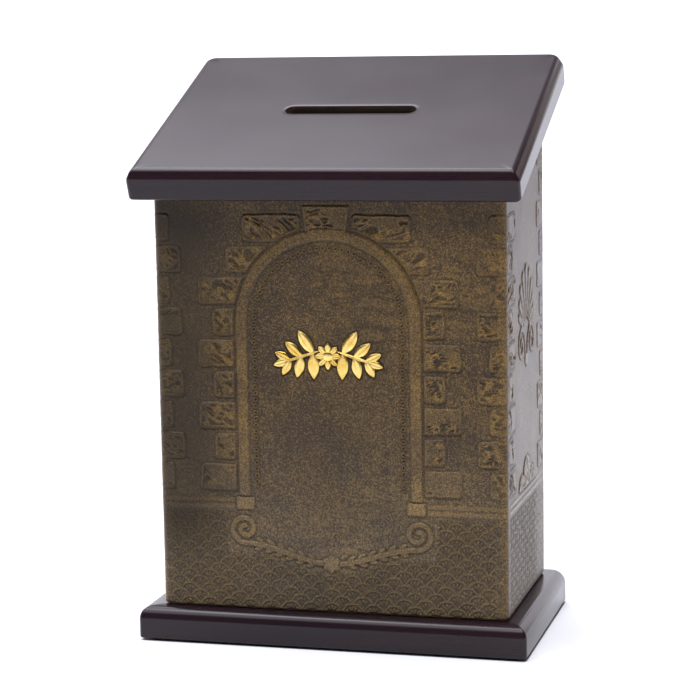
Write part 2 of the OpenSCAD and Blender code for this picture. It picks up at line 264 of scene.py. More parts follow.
def metal(name, light, dark, roughness, brushed=(400.0, 400.0, 400.0), depth=0.01):
    """A plated or solid metal with fine tooling marks and slight tarnish."""
    g = Graph(name)
    tarnish = g.noise(130.0, 4.0, 0.6)
    marks = g.noise(6.0, 4.0, 0.7, at=g.stretched(*brushed))
    colour = g.mix(g.spread(tarnish, 0.35, 0.75), light, dark)
    return g.surface(
        Base_Color=colour,
        Metallic=1.0,
        Roughness=g.spread(g.math("ADD", marks, tarnish), 0.6, 1.4, roughness * 0.8, roughness * 1.3),
        Normal=g.bump(marks, depth * MM, 0.5),
    )


def fibreboard(name):
    g = Graph(name)
    fibre = g.noise(700.0, 4.0, 0.7)
    cloud = g.noise(40.0, 3.0, 0.5)
    colour = g.mix(g.spread(fibre, 0.3, 0.7), srgb(150, 118, 82), srgb(186, 154, 114))
    colour = g.mix(g.spread(cloud, 0.4, 0.8, 0.0, 0.3), colour, srgb(132, 100, 68))
    return g.surface(
        Base_Color=colour, Roughness=0.85, Specular_IOR_Level=0.25, Normal=g.bump(fibre, 0.06 * MM, 0.6)
    )


def softwood(name, grain_axis, colours=PINE, across_from=None):
    """Planed wood, its grain along X, Y or Z (0, 1 or 2). To the right of across_from it runs along X."""
    g = Graph(name)
    light, dark, fleck = colours
    along = [170.0, 170.0, 170.0]
    along[grain_axis] = 7.0
    place = g.stretched(*along)
    if across_from is not None:
        crosswise = g.math("GREATER_THAN", g.axes(g.place)["X"], across_from)
        place = g.mix(crosswise, place, g.stretched(7.0, 170.0, 170.0))
    rings = g.noise(2.4, 3.0, 0.45, 0.8, at=place)
    fibre = g.noise(16.0, 4.0, 0.7, at=place)
    colour = g.mix(g.spread(rings, 0.42, 0.62), light, dark)
    colour = g.mix(g.spread(fibre, 0.5, 0.8, 0.0, 0.35), colour, fleck)
    return g.surface(
        Base_Color=colour, Roughness=0.62, Specular_IOR_Level=0.35, Normal=g.bump(fibre, 0.04 * MM, 0.6)
    )


def felt(name):
    g = Graph(name)
    nap = g.noise(1800.0, 5.0, 0.75)
    colour = g.mix(g.spread(nap, 0.3, 0.7), srgb(18, 18, 20), srgb(44, 43, 46))
    return g.surface(
        Base_Color=colour, Roughness=1.0, Specular_IOR_Level=0.1, Sheen_Weight=0.4,
        Normal=g.bump(nap, 0.2 * MM, 0.8),
    )


LACQUER = lacquered_wood("lacquered_wood", 0)
SLOT_WALL = softwood("slot_wall_stained", 0, STAINED)
LEATHER = embossed_leather("embossed_leather")
GILT = gilt("gilt_foil")
BRASS = metal("brass", srgb(190, 160, 102), srgb(146, 116, 66), 0.24, (300.0, 300.0, 40.0))
ZINC = metal("zinc_plate", srgb(196, 194, 186), srgb(150, 146, 134), 0.34)
NICKEL = metal("bright_nickel", srgb(214, 212, 206), srgb(178, 174, 166), 0.16, depth=0.004)
KEY_PLATE = metal("key_plate", srgb(206, 202, 192), srgb(160, 152, 136), 0.24, (60.0, 900.0, 900.0))
BOARD = fibreboard("fibreboard")
PINE_STOPS = softwood("pine_door_stops", 2, across_from=DOOR_LOW.x + 1.8 * MM)
PINE_Y = softwood("pine_along_y", 1)
PINE_Z = softwood("pine_along_z", 2)
FELT = felt("felt")


# ---------------------------------------------------------------- making pieces

def placed(name, data):
    """A new object in the scene."""
    item = bpy.data.objects.new(name, data)
    bpy.context.scene.collection.objects.link(item)
    return item


def new_piece(name, mesh, material, body, node):
    """An object of one material, which rides on a body and stands for a CAD node."""
    mesh.materials.clear()
    mesh.materials.append(material)
    piece = placed(name, mesh)
    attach(piece, body)
    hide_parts(node)
    return piece


def mesh_of(name, vertices, faces):
    mesh = bpy.data.meshes.new(name)
    mesh.from_pydata([tuple(v) for v in vertices], [], [tuple(int(i) for i in f) for f in faces])
    mesh.validate()
    mesh.update()
    return mesh


def smooth_shaded(piece, sharp_over=40):
    """Smooth shading that keeps arrises and leaves flat faces looking flat."""
    mesh = piece.data
    mesh.shade_smooth()
    mesh.set_sharp_from_angle(angle=math.radians(sharp_over))
    weighted = piece.modifiers.new("flat_faces", "WEIGHTED_NORMAL")
    weighted.keep_sharp = True
    weighted.weight = 100


def part_flat(piece, over):
    """Flat shading for faces of more than so many square millimetres, smooth for the roundings between."""
    for face in piece.data.polygons:
        face.use_smooth = face.area < over * MM * MM


def rounded_path(corners, steps=6):
    """Points along a path whose corners (u, v, radius) are rounded."""
    points = []
    for k, (u, v, radius) in enumerate(corners):
        here = Vector((u, v))
        if radius == 0 or k in (0, len(corners) - 1):
            points.append(here)
            continue
        back = (Vector(corners[k - 1][:2]) - here).normalized()
        on = (Vector(corners[k + 1][:2]) - here).normalized()
        half = back.angle(on) / 2
        reach = radius / math.tan(half)
        centre = here + (back + on).normalized() * (radius / math.sin(half))
        start, end = here + back * reach - centre, here + on * reach - centre
        turn = start.angle_signed(end)
        for step in range(steps + 1):
            t = -turn * step / steps
            points.append(centre + Vector((
                start.x * math.cos(t) - start.y * math.sin(t), start.x * math.sin(t) + start.y * math.cos(t)
            )))
    return points


def rectangle_ring(half_x, half_y, radius, per_corner, front_radius=None):
    """A rounded rectangle, counter-clockwise, with the same number of points round every corner.
    front_radius is for the two corners at -Y, if they differ."""
    ring = []
    rear_radius = radius
    for quarter, (sx, sy) in enumerate(((1, 1), (-1, 1), (-1, -1), (1, -1))):
        radius = rear_radius if sy > 0 or front_radius is None else front_radius
        for k in range(per_corner + 1):
            angle = math.radians(90 * (quarter + k / per_corner))
            ring.append((
                sx * (half_x - radius) + radius * math.cos(angle),
                sy * (half_y - radius) + radius * math.sin(angle),
            ))
    return ring


def ring_faces(rings, closed):
    """Faces between successive rings. closed joins the last to the first, otherwise both ends are capped."""
    count = len(rings[0])
    faces = []
    pairs = [(k, k + 1) for k in range(len(rings) - 1)]
    if closed:
        pairs.append((len(rings) - 1, 0))
    for low, high in pairs:
        for k in range(count):
            n = (k + 1) % count
            faces.append((low * count + k, low * count + n, high * count + n, high * count + k))
    if not closed:
        faces.append(tuple(reversed(range(count))))
        faces.append(tuple(range((len(rings) - 1) * count, len(rings) * count)))
    return faces


def ring_piece(name, rings, closed, material, body, node):
    """A piece skinned over successive rings."""
    mesh = mesh_of(name, [p for ring in rings for p in ring], ring_faces(rings, closed))
    return new_piece(name, mesh, material, body, node)


def on_lid(x, v, n):
    """A point across, up the slope and off the underside of the lid board, in the row frame."""
    cos, sin = math.cos(LID_TILT), math.sin(LID_TILT)
    return LID_EDGE + Vector((x, v * cos - n * sin, v * sin + n * cos))


# ---------------------------------------------------------------- base and lid boards

ARRIS = 0.7 * MM
PER_CORNER = 6


def base_board():
    """The moulded board: a quarter round that leaves the upper face at a slight angle."""
    half_x, half_y = BASE_HIGH.x, BASE_HIGH.y
    thick = BASE_HIGH.z - BASE_LOW.z
    mould_r, break_angle = 5.2 * MM, math.radians(20)
    drop = mould_r * math.cos(break_angle)
    foot = rounded_path([(4 * MM, 0, 0), (0, 0, ARRIS), (0, thick - drop, 0)])
    steps = 14
    turn = math.pi / 2 - break_angle
    arc = []
    for k in range(1, steps + 1):
        angle = turn * k / steps
        arc.append(Vector((mould_r * (1 - math.cos(angle)), thick - drop + mould_r * math.sin(angle))))
    # a fine step sets the moulding off from the board's flat top
    step = 0.12 * MM
    arc[-1].y -= step
    top = [arc[-1] + Vector((0.35 * MM, step)), arc[-1] + Vector((6 * MM, step))]
    rings = []
    for inset, height in foot + arc + top:
        rear, front = max(6.0 * MM - inset, 0.6 * MM), max(1.8 * MM - inset, 0.4 * MM)
        ring = rectangle_ring(half_x - inset, half_y - inset, rear, PER_CORNER, front)
        rings.append([Vector((x, y, BASE_LOW.z + height)) for x, y in ring])
    piece = ring_piece(
        "base_board_lacquered", rings, False, LACQUER, "case", "base_board"
    )
    part_flat(piece, 170)
    piece.data.set_sharp_from_angle(angle=math.radians(17))


def lid_board():
    """The sloping board: bevelled round its upper face, with softened arrises and a slot right through."""
    half_x = LID_HIGH.x
    half_v = LID_LENGTH / 2
    outer = rounded_path([
        (6 * MM, 0, 0),
        (0, 0, 1.2 * MM),
        (0, LID_THICK - LID_BEVEL_DOWN, 4.0 * MM),
        (LID_BEVEL_IN, LID_THICK, 2.4 * MM),
        (8 * MM, LID_THICK, 0),
    ])
    rings = []
    for inset, n in outer:
        rear, front = max(6.0 * MM - inset, 1.2 * MM), max(2.2 * MM - inset, 0.8 * MM)
        ring = rectangle_ring(half_x - inset, half_v - inset, rear, PER_CORNER, front)
        rings.append([on_lid(x, half_v + v, n) for x, v in ring])
    lip = rounded_path([(2 * MM, LID_THICK, 0), (0, LID_THICK, 0.5 * MM), (0, 0, 0.4 * MM), (2 * MM, 0, 0)])
    for out, n in lip:
        half_slot, half_wide = SLOT_LENGTH / 2 + out, SLOT_WIDTH / 2 + out
        ring = rectangle_ring(half_slot, half_wide, half_wide - 0.05 * MM, PER_CORNER)
        rings.append([on_lid(x, half_v + v, n) for x, v in ring])
    piece = ring_piece("lid_board_lacquered", rings, True, LACQUER, "case", "lid_board")
    part_flat(piece, 120)
    # the slot's wall is stained, not lacquered
    piece.data.materials.append(SLOT_WALL)
    round_slot = len(rings[0])
    first = (len(outer) + (len(lip) - 2) // 2) * round_slot
    for face in range(first, first + round_slot):
        piece.data.polygons[face].material_index = 1


base_board()
lid_board()


# ---------------------------------------------------------------- relief of the leather

def eased(t):
    t = np.clip(t, 0.0, 1.0)
    return t * t * (3.0 - 2.0 * t)


def lattice_noise(u, v, cell, seed):
    """Smooth noise from 0 to 1 over a plane, one random value to a cell."""
    size = 128
    table = np.random.default_rng(seed).random((size, size))
    p, q = u / cell, v / cell
    i, j = np.floor(p).astype(int), np.floor(q).astype(int)
    fp, fq = eased(p - i), eased(q - j)
    corner = {(di, dj): table[(i + di) % size, (j + dj) % size] for di in (0, 1) for dj in (0, 1)}
    low = corner[0, 0] * (1 - fp) + corner[1, 0] * fp
    high = corner[0, 1] * (1 - fp) + corner[1, 1] * fp
    return low * (1 - fq) + high * fq


def box_distance(u, v, low_u, high_u, low_v, high_v, radius):
    """Signed distance to a rounded rectangle, negative inside."""
    du = np.abs(u - (low_u + high_u) / 2) - (high_u - low_u) / 2 + radius
    dv = np.abs(v - (low_v + high_v) / 2) - (high_v - low_v) / 2 + radius
    return np.hypot(np.maximum(du, 0), np.maximum(dv, 0)) + np.minimum(np.maximum(du, dv), 0) - radius


def ellipse_distance(u, v, at_u, at_v, half_u, half_v):
    """About the signed distance to an ellipse."""
    reach = np.hypot((u - at_u) / half_u, (v - at_v) / half_v)
    return (reach - 1) * min(half_u, half_v)


def cos_sin(degrees):
    return math.cos(math.radians(degrees)), math.sin(math.radians(degrees))


def leaf_radius(length, width):
    """Radius of the two arcs that make a leaf's outline."""
    return (length ** 2 / 4 + width ** 2 / 4) / width


def leaf_distance(u, v, at_u, at_v, turn, length, width):
    """Signed distance to a leaf between two arcs, its stalk end at a point, turned from the U axis."""
    cos, sin = cos_sin(turn)
    p = (u - at_u) * cos + (v - at_v) * sin
    q = -(u - at_u) * sin + (v - at_v) * cos
    radius = leaf_radius(length, width)
    return np.hypot(p - length / 2, np.abs(q) + radius - width / 2) - radius


def nearest_leaf(u, v, leaves):
    """Signed distance to the nearest of some leaves, each given as at_u, at_v, turn, length, width."""
    best = np.full(u.shape, 99.0)
    for leaf in leaves:
        best = np.minimum(best, leaf_distance(u, v, *leaf))
    return best


def curve_points(points, steps=6):
    """A smooth curve through the points (Catmull-Rom)."""
    p = [np.array(q, float) for q in points]
    p = [2 * p[0] - p[1]] + p + [2 * p[-1] - p[-2]]
    out = []
    for k in range(1, len(p) - 2):
        for step in range(steps):
            t = step / steps
            out.append(0.5 * (
                2 * p[k] + (p[k + 1] - p[k - 1]) * t
                + (2 * p[k - 1] - 5 * p[k] + 4 * p[k + 1] - p[k + 2]) * t ** 2
                + (3 * p[k] - p[k - 1] - 3 * p[k + 1] + p[k + 2]) * t ** 3
            ))
    return out + [p[-2]]


def curve_distance(u, v, points):
    """Distance to a smooth curve through the points."""
    line = curve_points(points)
    low, high = np.min(line, axis=0) - 4, np.max(line, axis=0) + 4
    near = (u > low[0]) & (u < high[0]) & (v > low[1]) & (v < high[1])
    best = np.full(u.shape, 99.0)
    pu, pv = u[near], v[near]
    found = np.full(pu.shape, 99.0)
    for a, b in zip(line[:-1], line[1:]):
        d = b - a
        t = np.clip(((pu - a[0]) * d[0] + (pv - a[1]) * d[1]) / max(d @ d, 1e-9), 0, 1)
        found = np.minimum(found, np.hypot(pu - a[0] - t * d[0], pv - a[1] - t * d[1]))
    best[near] = found
    return best


LAYERS = ("height", "burnish", "pit", "wear", "dark")


class Relief:
    """Height over a sheet of leather, with the shares that its colour follows. Lengths are in millimetres."""

    def __init__(self, u, v):
        self.u, self.v = u, v
        for name in LAYERS:
            setattr(self, name, np.zeros(u.shape))

    def at_least(self, **shares):
        """Brings colour shares up to these where they are lower."""
        for name, share in shares.items():
            setattr(self, name, np.maximum(getattr(self, name), share))

    def raise_by(self, distance, height, edge=0.6, burnish=0.8, groove=0.18, rim=0.0):
        """A raised shape with a tooled line round it, which covers what was there.
        rim raises its border above the rest of it."""
        inside = eased(-distance / edge + 0.5)
        line = np.exp(-(((distance - 0.42) / 0.30) ** 2)) * (1 - inside)
        border = np.exp(-(((distance + 0.38) / 0.26) ** 2))
        level = height + rim * border
        self.height = self.height * (1 - inside) + level * inside - groove * line
        rubbed = burnish * (1 if rim == 0 else 0.5 + 0.5 * border)
        self.burnish = self.burnish * (1 - inside) + rubbed * inside
        self.pit = np.maximum(self.pit * (1 - inside), 0.42 * line)

    def part(self, where):
        """The share of the sheet that one shape can touch, which makes each shape quick to add."""
        piece = Relief(self.u[where], self.v[where])
        for name in LAYERS:
            setattr(piece, name, getattr(self, name)[where])
        return piece

    def put_back(self, where, piece):
        for name in LAYERS:
            getattr(self, name)[where] = getattr(piece, name)

    def add_line(self, distance, half_width, height, burnish=0.7):
        """A round-topped line."""
        share = eased((half_width - distance) / half_width)
        self.height = self.height + height * share
        self.at_least(burnish=burnish * share)

    def roughen(self, distance, share, seed):
        """Chisel strokes over a share of a raised shape, running one way on each."""
        u, v = self.u, self.v
        inside = eased((-distance - 0.75) / 0.4)
        patch = eased((lattice_noise(u + 0.7 * v, v, 6.4, seed) - (1 - share)) / 0.05) * inside
        turn = math.radians(seed * 47 % 110 - 55)
        along = u * math.cos(turn) + v * math.sin(turn)
        across = v * math.cos(turn) - u * math.sin(turn) + 1.6 * (lattice_noise(u, v, 2.8, seed + 2) - 0.5)
        marks = 1 - 3.2 * np.abs(lattice_noise(along / 2.4, across, 1.05, seed + 1) - 0.5)
        self.height = self.height + patch * (0.44 * marks - 0.30)
        self.at_least(pit=0.56 * patch * eased(0.9 - 1.5 * marks))
        self.burnish = self.burnish * (1 - patch) + 0.75 * patch * eased(1.9 * marks - 0.5)


# the arch and the courses of stones, as heights above the base board
COURSE_PITCH = 11.8
COURSE_HEIGHT = 9.6
COURSE_FOOT = 45.8
COURSES = 9
ARCH_HALF = 35.2
ARCH_SPRING = 109.3
ARCH_BAND = 4.0
ARCH_FOOT = 43.6
SILL = 37.6
STRING_START = 37.0
STRING_BANDS = ((38.6, 40.4), (41.2, 42.8))
KEYSTONE_MIDDLE = 148.4
SCALE_WIDTH = 8.0
SCALE_PITCH = 2.7
SCALE_RADIUS = 4.1
STONE_HEIGHT = 0.34
STONE_RIM = 0.16
# long and short stones by turns: how far a course reaches past the arch, and how far a corner stone
# reaches from the corner over the front and over the side
STONE_REACH = (15.0, 9.0)
QUOIN_FRONT = (5.5, 10.0)
QUOIN_SIDE = (16.0, 10.5)
SIDE_COURSES = 12


def course_reach(course):
    """How far from the middle a course of stones reaches, which follows the arch."""
    rise = max(0.0, COURSE_FOOT + course * COURSE_PITCH - ARCH_SPRING)
    return math.sqrt(max(0.0, ARCH_HALF ** 2 - rise ** 2)) + STONE_REACH[course % 2]


def arch_distance(u, v, half):
    """Signed distance to an arch-headed opening, negative inside it."""
    above = np.hypot(u, v - ARCH_SPRING) - half
    return np.where(v > ARCH_SPRING, above, np.abs(u) - half)


def stone(relief, low_u, high_u, foot, seed, clear_of_arch=False):
    near = (relief.u > low_u - 3) & (relief.u < high_u + 3) & (relief.v > foot - 3) & (relief.v < foot + 13)
    part = relief.part(near)
    wander = 0.5 * (lattice_noise(part.u, part.v, 3.0, seed + 3) - 0.5)
    distance = box_distance(part.u, part.v, low_u, high_u, foot, foot + COURSE_HEIGHT, 1.4) + wander
    if clear_of_arch:
        distance = np.maximum(distance, 1.2 - arch_distance(part.u, part.v, ARCH_HALF))
    rubbed = 0.16 + 0.56 * lattice_noise(part.u + part.v, part.v - part.u, 9.0, seed + 4)
    part.raise_by(distance, STONE_HEIGHT, 0.6, rubbed, rim=STONE_RIM)
    part.roughen(distance, 0.66, seed)
    relief.put_back(near, part)


def stone_either_side(relief, side, low, high, foot, seed):
    """A stone from low to high to the right of the middle (side 1), or as far to its left (side -1)."""
    stone(relief, min(side * low, side * high), max(side * low, side * high), foot, seed)


def fan_scales(relief, below, depth=1.0):
    """Overlapping fan-shaped scales, with ribs, over the part of the sheet where below is 1."""
    u, v = relief.u, relief.v
    free = np.ones(u.shape, bool)
    height = np.zeros(u.shape)
    line = np.zeros(u.shape)
    for row in range(-3, 16):
        foot = row * SCALE_PITCH
        shift = SCALE_WIDTH / 2 * (row % 2)
        du = (u - shift + SCALE_WIDTH / 2) % SCALE_WIDTH - SCALE_WIDTH / 2
        dv = v - foot
        reach = np.hypot(du, dv)
        mine = free & (reach <= SCALE_RADIUS)
        rim = np.exp(-(((reach - SCALE_RADIUS + 0.38) / 0.24) ** 2))
        angle = np.arctan2(du, dv)
        ribs = eased((np.cos(angle * 11) - 0.2) / 0.6)
        ribs = ribs * eased((reach - 1.2) / 0.4) * eased((3.05 - reach) / 0.3)
        height[mine] = (0.44 * rim + 0.38 * ribs)[mine]
        line[mine] = np.maximum(rim, 0.8 * ribs)[mine]
        free = free & ~mine
    relief.height = relief.height + depth * (height - 0.06) * below
    relief.at_least(burnish=line * below, pit=0.52 * depth * (1 - line) * below)


def string_course(relief):
    """Two flat bands under the courses of stones, from the foot of the arch outwards."""
    out = eased((np.abs(relief.u) - STRING_START) / 0.5)
    for low, high in STRING_BANDS:
        distance = np.abs(relief.v - (low + high) / 2) - (high - low) / 2
        share = eased(-distance / 0.5 + 0.5) * out
        relief.height = relief.height + 0.3 * share
        relief.at_least(burnish=0.55 * share)


# the ornament that closes the arch at its foot: a leafy swag that hangs between two volutes
VOLUTE_U = 33.4
VOLUTE_V = 31.0
VOLUTE_R = 5.6
VOLUTE_TURNS = 1.5
SWAG_LOW = 18.6
SWAG_CLEAR = 3.6
SWAG_LEAVES = 6
SWAG_PETALS = 6


def swag_height(u):
    """Height of the swag's strap, level at its middle and where it meets the volutes."""
    share = np.minimum(np.abs(u), VOLUTE_U) / VOLUTE_U
    return SWAG_LOW + (VOLUTE_V - VOLUTE_R - SWAG_LOW) * (1 - np.cos(math.pi * share)) / 2


def swag_strap():
    """Points along one half of the strap: the swag from its middle outwards, then the volute."""
    along = [VOLUTE_U * k / 12 for k in range(12)]
    points = [(u, float(swag_height(u))) for u in along]
    for k in range(33):
        t = k / 32
        reach, angle = VOLUTE_R * (1 - 0.8 * t), math.radians(360 * VOLUTE_TURNS * t - 90)
        points.append((VOLUTE_U + reach * math.cos(angle), VOLUTE_V + reach * math.sin(angle)))
    return points


def scale_edge(u):
    """Upper edge of the scale ground: under the swag, and up to the sill beyond the volutes."""
    under = swag_height(u) - SWAG_CLEAR
    return under + (SILL - under) * eased((np.abs(u) - VOLUTE_U - VOLUTE_R - 1.0) / 1.5)


def scroll_frame(relief):
    """Plinths under the arch, the swag with its leaves and volutes, and a rosette in the middle."""
    u, v = np.abs(relief.u), relief.v
    relief.raise_by(box_distance(u, v, 29.6, 36.4, SILL + 0.9, ARCH_FOOT - 0.5, 0.5), 0.36, 0.5)
    leaves = []
    for k in range(SWAG_LEAVES):
        at = 6.0 + 4.0 * k
        slope = math.degrees(math.atan(swag_height(at + 0.5) - swag_height(at - 0.5)))
        leaves += [(at, swag_height(at), slope + turn, 4.2, 1.9) for turn in (-34, 34)]
    relief.raise_by(nearest_leaf(u, v, leaves), 0.36, 0.45)
    relief.raise_by(curve_distance(u, v, swag_strap()) - 0.85, 0.24, 0.45, groove=0.2, rim=0.2)
    petals = [(0, SWAG_LOW, 360 / SWAG_PETALS * (k + 0.5), 3.6, 2.2) for k in range(SWAG_PETALS)]
    relief.raise_by(nearest_leaf(relief.u, v, petals), 0.42, 0.45)


def bead_row(relief):
    """Small rings in a row inside the arch's band."""
    u, v = np.abs(relief.u), relief.v
    row = ARCH_HALF - ARCH_BAND - 2.9
    pitch = 2.4
    angle = np.arctan2(v - ARCH_SPRING, u)
    above = v > ARCH_SPRING
    along = np.where(above, angle * row, v - ARCH_SPRING)
    across = np.where(above, np.hypot(u, v - ARCH_SPRING), u) - row
    local = (along + pitch / 2) % pitch - pitch / 2
    reach = np.hypot(local, across)
    keep = eased((v - ARCH_FOOT - 3) / 0.5)
    ring = np.exp(-(((reach - 0.68) / 0.24) ** 2)) * keep
    moat = np.exp(-(((reach - 1.15) / 0.24) ** 2)) * keep
    eye = eased((0.55 - reach) / 0.35) * keep
    relief.height = relief.height + 0.36 * ring - 0.28 * eye - 0.14 * moat
    relief.at_least(burnish=0.6 * ring, pit=np.maximum(0.7 * eye, 0.45 * moat))


ROSETTE_R = 4.4
PETALS = 8
STEM_SLOPE = -18.0
LEAF_PAIRS = 3


def emblem_leaves():
    """(u, v, turn, length, width) of each leaf of the gilt ornament, from its rosette's middle."""
    leaves = []
    for k in range(PETALS):
        angle = 2 * math.pi * k / PETALS
        u, v = ROSETTE_R * 0.25 * math.cos(angle), ROSETTE_R * 0.25 * math.sin(angle)
        leaves.append((u, v, math.degrees(angle), ROSETTE_R * 0.9, ROSETTE_R * 0.52))
    # along the stem, turn from it, how far back the stalk end lies, length, width
    spray = [(0.0, 0.0, 0.0, 17.5, 1.3), (13.4, 0.0, 0.0, 6.0, 3.0)]
    for k in range(LEAF_PAIRS):
        t = k / (LEAF_PAIRS - 1)
        spray += [(3.4 + 9.2 * t, side * (74 - 30 * t), 0.5, 10.4 - 3.4 * t, 4.2 - t) for side in (-1, 1)]
    cos, sin = cos_sin(STEM_SLOPE)
    for along, turn, back, length, width in spray:
        p = along - back * math.cos(math.radians(turn))
        q = -back * math.sin(math.radians(turn))
        u, v = 2.5 + p * cos - q * sin, 2.2 + p * sin + q * cos
        leaves.append((u, v, STEM_SLOPE + turn, length, width))
        leaves.append((-u, v, 180 - STEM_SLOPE - turn, length, width))
    return leaves


# height of the middle of the gilt ornament
EMBLEM_MIDDLE = 110.5


def emblem_bed(relief):
    """The ornament is struck into the leather: a sunk, dark bed just wider than its leaves."""
    near = (np.abs(relief.u) < 26) & (np.abs(relief.v + BOARD_TOP - EMBLEM_MIDDLE) < 14)
    u, v = relief.u[near], relief.v[near] + BOARD_TOP - EMBLEM_MIDDLE
    sunk = eased((0.75 - nearest_leaf(u, v, emblem_leaves())) / 0.5)
    relief.height[near] -= 0.28 * sunk
    relief.pit[near] = np.maximum(relief.pit[near], 0.9 * sunk)


def folds(relief):
    """Fine creases that run across parts of the hide."""
    u, v = relief.u, relief.v
    bent = 4.0 * (lattice_noise(u, v, 14.0, 31) - 0.5)
    crease = np.abs(lattice_noise(0.16 * u + 40, v + bent, 1.7, 32) - 0.5)
    where = eased((lattice_noise(u, v + 20, 24.0, 33) - 0.52) / 0.16)
    line = where * eased((0.09 - crease) / 0.07)
    relief.height = relief.height - 0.10 * line
    relief.at_least(pit=0.22 * line, burnish=0.26 * where * eased((crease - 0.12) / 0.15))


def front_relief(u, v):
    relief = Relief(u, v)
    folds(relief)
    above = v - KEYSTONE_MIDDLE
    keystone = np.maximum(np.abs(above) - 4.7, np.abs(u) - 8.2 - 0.12 * above)
    fan_scales(relief, eased((scale_edge(u) - v) / 0.5))
    string_course(relief)
    for course in range(COURSES):
        foot = COURSE_FOOT + course * COURSE_PITCH
        inner = 10.0 if course == COURSES - 1 else 0.0
        reach = course_reach(course)
        stone(relief, inner, reach, foot, 100 + course * 7, True)
        stone(relief, -reach, -inner, foot, 300 + course * 7, True)
    quoins(relief)
    relief.raise_by(keystone, STONE_HEIGHT, 0.6, rim=STONE_RIM)
    relief.roughen(keystone, 0.6, 900)
    band = np.abs(arch_distance(u, v, ARCH_HALF - ARCH_BAND / 2)) - ARCH_BAND / 2
    band = np.maximum(band, ARCH_FOOT - v)
    rubbed = 0.24 + 0.4 * lattice_noise(u, v, 12.0, 61)
    relief.raise_by(band + 0.3 * (lattice_noise(u, v, 4.0, 62) - 0.5), 0.42, 0.9, rubbed)
    bead_row(relief)
    scroll_frame(relief)
    emblem_bed(relief)
    # the dark share: darker towards the upper left and in patches, a little lighter towards the right
    patchy = lattice_noise(u + 0.5 * v, v - 0.5 * u, 21.0, 77) - 0.5
    relief.dark = np.clip(0.68 * eased((-28 - u) / 30) * eased((v - 12) / 30) + 0.36 * patchy + 0.16
                          - 0.16 * eased((u - 5) / 40), 0, 1)
    return relief


# distances along the plan outline from the middle of the front
FLAT_FRONT = HALF_W - CORNER_R
ARC = math.pi / 2 * CORNER_R
FLAT_SIDE = 2 * (HALF_D - CORNER_R)
CORNER_MIDDLE = FLAT_FRONT + ARC / 2
SIDE_MIDDLE = FLAT_FRONT + ARC + FLAT_SIDE / 2
REAR_CORNER = FLAT_FRONT + ARC + FLAT_SIDE
REAR_MIDDLE = REAR_CORNER + ARC / 2
OUTLINE_END = REAR_CORNER + ARC + HALF_W - CORNER_R - SEAM_X


def quoins(relief):
    """Corner stones, which turn the corner from the front to the sides."""
    for side in (-1, 1):
        for course in range(COURSES):
            foot = COURSE_FOOT + course * COURSE_PITCH
            low, high = CORNER_MIDDLE - QUOIN_FRONT[course % 2], CORNER_MIDDLE + QUOIN_SIDE[course % 2]
            stone_either_side(relief, side, low, high, foot, 500 + side * 90 + course * 5)


# the point that the palmette's leaves fan out from, as a height above the base board
PALMETTE_V = 102.2


def palmette(relief, side_u, v):
    """A palmette on each side: blunt leaves fanned out over two open scrolls, on a stem with a bulb."""
    u = np.abs(side_u)
    spread = np.hypot(u, v - PALMETTE_V)
    for turn, length in ((28, 15.6), (43, 17.6), (58, 20.2), (74, 22.4), (90, 23.6)):
        cos, sin = cos_sin(turn)
        leaf = [(reach * cos, PALMETTE_V + reach * sin) for reach in (7.0, 10.0, 13.0, length)]
        middle = curve_distance(u, v, leaf)
        relief.raise_by(middle - 0.5 - 0.085 * spread, 0.22, 0.5, 0.6, 0.12, 0.14)
        relief.add_line(curve_distance(u, v, leaf[:-1]), 0.35, -0.14, burnish=0.0)
    scroll = [
        (1.8, 93.6), (2.6, 98.4), (5.6, 103.0), (10.2, 104.6), (14.2, 101.8), (14.8, 97.4),
        (11.8, 94.6), (8.2, 95.6), (7.2, 98.8), (9.4, 100.6), (11.2, 99.2),
    ]
    relief.raise_by(curve_distance(u, v, scroll) - 1.05, 0.20, 0.5, 0.6, 0.12, 0.14)
    relief.raise_by(ellipse_distance(u, v, 0, 92.0, 3.0, 2.4), 0.26, 0.5, 0.6, 0.12)


def bushes(relief, side_u, v):
    """A tall rounded shrub on the string course between two low ones."""
    for at_u, at_v, half, seed in ((-10.5, 43.4, 6.0, 52), (10.5, 43.4, 6.0, 63), (0.0, 47.0, 8.0, 41)):
        crown = np.maximum(np.hypot(side_u - at_u, v - at_v) - half, 43.4 - v)
        relief.raise_by(crown, 0.3, 0.6, burnish=0.55)
        leaves = lattice_noise(side_u, v, 1.4, seed) - 0.5
        inside = eased((-crown - 0.4) / 0.5)
        relief.height = relief.height + 0.5 * leaves * inside
        relief.at_least(pit=0.5 * eased(-leaves * 3) * inside)


def side_relief(u, v):
    """The sides: both have the same ornament, and the stones turn all four corners."""
    relief = Relief(u, v)
    side_u = np.abs(u) - SIDE_MIDDLE
    fan_scales(relief, eased((SILL - v) / 0.5), 0.58)
    string_course(relief)
    bushes(relief, side_u, v)
    palmette(relief, side_u, v)
    quoins(relief)
    for side in (-1, 1):
        for course in range(SIDE_COURSES):
            foot = COURSE_FOOT + course * COURSE_PITCH
            low, high = REAR_MIDDLE - QUOIN_SIDE[course % 2], OUTLINE_END + 4
            stone_either_side(relief, side, low, high, foot, 700 + side * 60 + course * 5)
    # pressed less deep towards the back, and grainier than the front
    shallow = 1 - 0.5 * eased((np.abs(u) - REAR_CORNER + 24) / 14)
    relief.height = relief.height * shallow + 0.06 * (lattice_noise(u, v, 0.85, 91) - 0.5)
    relief.pit = relief.pit * shallow
    return relief


